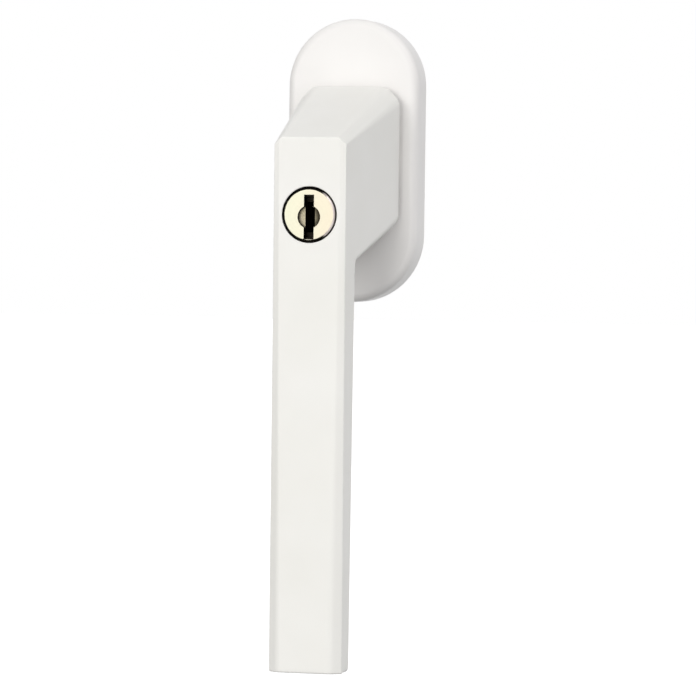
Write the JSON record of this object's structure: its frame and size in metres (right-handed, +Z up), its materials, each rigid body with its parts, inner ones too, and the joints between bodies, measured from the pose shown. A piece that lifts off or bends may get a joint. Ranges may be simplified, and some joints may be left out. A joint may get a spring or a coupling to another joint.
{
  "type": "locking window handle",
  "caption": "Locking window handle: straight grip on a faceted neck with a key lock that drives a bolt into the oval rosette's base plate; square spindle.",
  "frame": {"origin": "on the spindle axis, in the plane of the window frame that the rosette sits on", "axes": "+Y into the window along the spindle, +Z up (the grip hangs down from the neck at rest), +X to the right seen from the room"},
  "size_m": [0.0336, 0.0879, 0.1597],
  "materials": {
    "white_casting": "white powder coat, satin",
    "white_cover": "white powder coat, satin",
    "base_polyamide": "glass-filled polyamide, black, matt",
    "bearing_polymer": "acetal, dark grey, low friction",
    "zinc_plated_steel": "bright zinc plate",
    "bright_steel": "turned and polished steel",
    "spring_steel": "oiled spring wire",
    "black_steel": "black oxide",
    "nickel_plated_brass": "fine-turned, pale nickel plate over brass",
    "brass": "machined brass"
  },
  "bodies": {
    "rosette_base": {"base_plate": "base_polyamide", "bearing_bush": "bearing_polymer", "fixing_screw_upper": "zinc_plated_steel", "fixing_screw_lower": "zinc_plated_steel", "detent_spring_right": "spring_steel", "detent_spring_left": "spring_steel", "detent_plug_right": "zinc_plated_steel", "detent_plug_left": "zinc_plated_steel"},
    "handle": {"handle_casting": "white_casting", "slide_ring": "bearing_polymer", "spindle": "zinc_plated_steel", "thrust_washer": "bright_steel", "circlip": "spring_steel", "spindle_grub_screw": "black_steel", "lock_grub_screw": "black_steel", "lock_face": "nickel_plated_brass", "lock_housing": "brass"},
    "lock_core_body": {"lock_core": "brass", "lock_cam": "bright_steel", "cam_screw": "zinc_plated_steel"},
    "wafers": {"wafer_1": "brass", "wafer_2": "brass", "wafer_3": "brass", "wafer_4": "brass"},
    "bolt": {"locking_bolt": "bright_steel", "bolt_spring": "spring_steel"},
    "ball_right": {"detent_ball_right": "bright_steel"},
    "ball_left": {"detent_ball_left": "bright_steel"},
    "cover": {"rosette_cover": "white_cover"}
  },
  "joints": [
    {"name": "grip_turn", "type": "hinge", "parent": "rosette_base", "child": "handle", "pos_m": [0, 0, 0], "axis": [0, 1, 0], "range_deg": [-180, 180]},
    {"name": "key_turn", "type": "hinge", "parent": "handle", "child": "lock_core_body", "pos_m": [0, -0.04, -0.01448], "axis": [0, 1, 0], "range_deg": [0, 180]},
    {"name": "bolt_slide", "type": "slide", "parent": "handle", "child": "bolt", "axis": [0, 1, 0], "range_m": [0, 0.0045], "deforming": ["bolt_spring"]},
    {"name": "wafer_slide", "type": "slide", "parent": "lock_core_body", "child": "wafers", "axis": [0, 0, 1], "range_m": [0, 0.00045]},
    {"name": "ball_slide_right", "type": "slide", "parent": "rosette_base", "child": "ball_right", "axis": [-1, 0, 0], "range_m": [0, 0.0005], "stiffness_N_per_m": 1500, "springref_m": 0.001, "deforming": ["detent_spring_right"]},
    {"name": "ball_slide_left", "type": "slide", "parent": "rosette_base", "child": "ball_left", "axis": [1, 0, 0], "range_m": [0, 0.0005], "deforming": ["detent_spring_left"]},
    {"name": "cover_lift", "type": "slide", "parent": "rosette_base", "child": "cover", "axis": [0, -1, 0], "range_m": [0, 0.0025]}
  ],
  "couplings": [
    {"joint": "key_turn", "follows": "bolt_slide", "rad_per_m": 698.13},
    {"joint": "ball_slide_left", "follows": "ball_slide_right", "ratio": 1}
  ]
}
